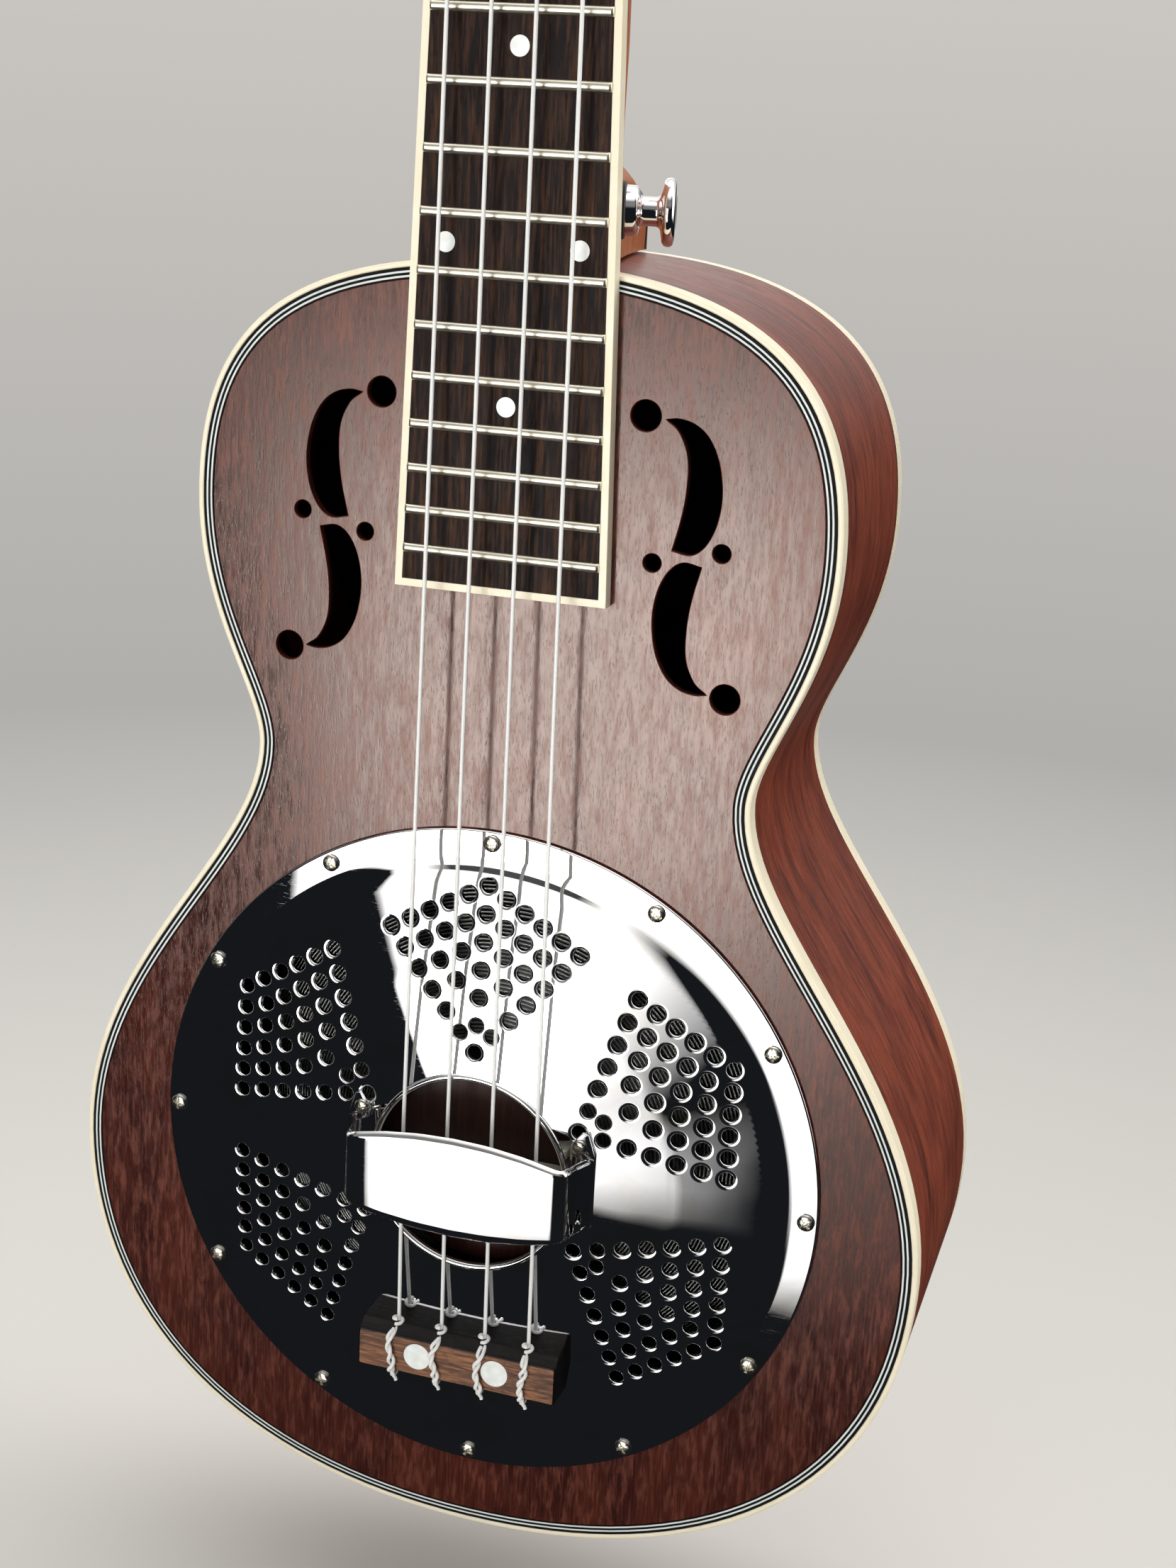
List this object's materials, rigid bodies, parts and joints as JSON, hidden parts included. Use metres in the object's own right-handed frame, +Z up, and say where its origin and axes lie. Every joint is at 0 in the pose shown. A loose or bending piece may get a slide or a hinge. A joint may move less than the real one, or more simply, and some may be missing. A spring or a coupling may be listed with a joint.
{
  "type": "resonator ukulele",
  "caption": "Small fretted resonator instrument of ukulele form: waisted wooden body, f-holes, domed perforated metal cover, bound fingerboard, hand rest and geared tuners.",
  "frame": {"origin": "the seat of a wall hanger's fork: on the centreline inside the neck, just above the nut, where the headstock starts to widen", "axes": "+Z up along the strings from body to headstock, +Y from the front to the back of the instrument, +X towards the treble side (right, seen from the front)"},
  "size_m": [0.1968, 0.0926, 0.6177],
  "materials": {
    "top_mahogany": "satin stained mahogany, dark towards the edge",
    "side_mahogany": "gloss stained mahogany with ribbon figure",
    "neck_mahogany": "satin mahogany",
    "spruce": "bare sawn spruce",
    "rosewood": "oiled rosewood",
    "ivory_binding": "polished cream binding",
    "purfling": "black and white lines",
    "bone": "polished bone",
    "chrome": "mirror",
    "spun_aluminium": "spun, fine concentric grooves",
    "nickel": "polished nickel plate",
    "nylon": "clear white monofilament",
    "pearloid": "pearly",
    "felt": "felt"
  },
  "bodies": {
    "instrument": {"top_plate": "top_mahogany", "top_purfling": "purfling", "top_binding": "ivory_binding", "back_plate": "side_mahogany", "back_binding": "ivory_binding", "side_bass": "side_mahogany", "side_treble": "side_mahogany", "top_lining_bass": "spruce", "top_lining_treble": "spruce", "back_lining_bass": "spruce", "back_lining_treble": "spruce", "neck_block": "neck_mahogany", "tail_block": "neck_mahogany", "upper_top_brace": "spruce", "back_brace_upper": "spruce", "back_brace_lower": "spruce", "soundwell": "spruce", "resonator_cone": "spun_aluminium", "biscuit": "rosewood", "saddle": "bone", "biscuit_screw": "nickel", "cover_plate": "chrome", "hand_rest": "chrome", "hand_rest_screw_bass": "nickel", "hand_rest_screw_treble": "nickel", "tie_block": "rosewood", "neck": "neck_mahogany", "fingerboard": "rosewood", "fingerboard_binding": "ivory_binding", "nut": "bone", "heel_cap": "rosewood", "headstock_veneer": "rosewood", "strap_button_heel": "chrome", "strap_button_heel_washer": "felt", "strap_button_tail": "chrome", "strap_button_tail_washer": "felt", "string_1": "nylon", "tuner_1_plate": "nickel", "string_2": "nylon", "tuner_2_plate": "nickel", "string_3": "nylon", "tuner_3_plate": "nickel", "string_4": "nylon", "tuner_4_plate": "nickel"},
    "tuner_1_knob": {"tuner_1_button": "pearloid", "tuner_1_worm": "nickel"},
    "tuner_1_roller": {"tuner_1_post": "nickel", "tuner_1_gear": "nickel"},
    "tuner_2_knob": {"tuner_2_button": "pearloid", "tuner_2_worm": "nickel"},
    "tuner_2_roller": {"tuner_2_post": "nickel", "tuner_2_gear": "nickel"},
    "tuner_3_knob": {"tuner_3_button": "pearloid", "tuner_3_worm": "nickel"},
    "tuner_3_roller": {"tuner_3_post": "nickel", "tuner_3_gear": "nickel"},
    "tuner_4_knob": {"tuner_4_button": "pearloid", "tuner_4_worm": "nickel"},
    "tuner_4_roller": {"tuner_4_post": "nickel", "tuner_4_gear": "nickel"}
  },
  "joints": [
    {"name": "tuner_1_knob_turn", "type": "hinge", "parent": "instrument", "child": "tuner_1_knob", "pos_m": [-0.031, 0.01478, 0.02158], "axis": [1, 0, 0], "continuous": true},
    {"name": "tuner_1_roller_turn", "type": "hinge", "parent": "instrument", "child": "tuner_1_roller", "pos_m": [-0.0145, 0.01613, 0.02794], "axis": [0, 0.9781, -0.2079], "continuous": true},
    {"name": "tuner_2_knob_turn", "type": "hinge", "parent": "instrument", "child": "tuner_2_knob", "pos_m": [-0.031, 0.02434, 0.06657], "axis": [1, 0, 0], "continuous": true},
    {"name": "tuner_2_roller_turn", "type": "hinge", "parent": "instrument", "child": "tuner_2_roller", "pos_m": [-0.0145, 0.02569, 0.07293], "axis": [0, 0.9781, -0.2079], "continuous": true},
    {"name": "tuner_3_knob_turn", "type": "hinge", "parent": "instrument", "child": "tuner_3_knob", "pos_m": [0.031, 0.02434, 0.06657], "axis": [1, 0, 0], "continuous": true},
    {"name": "tuner_3_roller_turn", "type": "hinge", "parent": "instrument", "child": "tuner_3_roller", "pos_m": [0.0145, 0.02569, 0.07293], "axis": [0, 0.9781, -0.2079], "continuous": true},
    {"name": "tuner_4_knob_turn", "type": "hinge", "parent": "instrument", "child": "tuner_4_knob", "pos_m": [0.031, 0.01478, 0.02158], "axis": [1, 0, 0], "continuous": true},
    {"name": "tuner_4_roller_turn", "type": "hinge", "parent": "instrument", "child": "tuner_4_roller", "pos_m": [0.0145, 0.01613, 0.02794], "axis": [0, 0.9781, -0.2079], "continuous": true}
  ],
  "couplings": [
    {"joint": "tuner_1_roller_turn", "follows": "tuner_1_knob_turn", "ratio": 0.071429},
    {"joint": "tuner_2_roller_turn", "follows": "tuner_2_knob_turn", "ratio": 0.071429},
    {"joint": "tuner_3_roller_turn", "follows": "tuner_3_knob_turn", "ratio": 0.071429},
    {"joint": "tuner_4_roller_turn", "follows": "tuner_4_knob_turn", "ratio": 0.071429}
  ]
}
